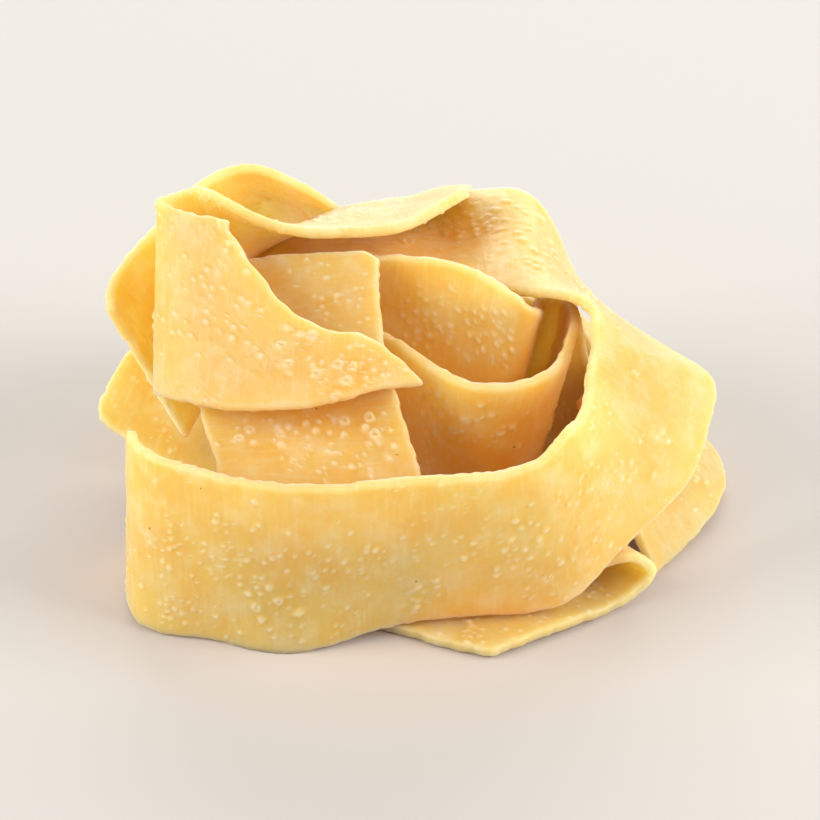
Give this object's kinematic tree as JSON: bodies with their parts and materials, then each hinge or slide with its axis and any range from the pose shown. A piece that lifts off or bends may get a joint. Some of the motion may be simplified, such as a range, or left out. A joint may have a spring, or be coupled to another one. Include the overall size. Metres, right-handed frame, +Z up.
{
  "type": "dry pasta nest",
  "caption": "Nest of dry wide-ribbon egg pasta: flat bands wound, folded and twisted into a loose bird's-nest shape, for boiling or display",
  "frame": {"origin": "centre of the bounding box on the ground plane the nest stands on", "axes": "+X to the right along the nest's longest extent, +Y to the back, +Z up; the nest stands on the ground plane as modelled"},
  "size_m": [0.0758, 0.0656, 0.0402],
  "materials": {
    "dry_pasta": "dull dry egg dough, pale yellow, slightly translucent, with small baked-in blisters"
  },
  "bodies": {
    "root": {"outer_wrap": "dry_pasta", "top_flap": "dry_pasta", "back_collar": "dry_pasta", "left_wing": "dry_pasta", "floor_fold": "dry_pasta", "centre_strip": "dry_pasta", "inner_loop": "dry_pasta"}
  },
  "joints": []
}
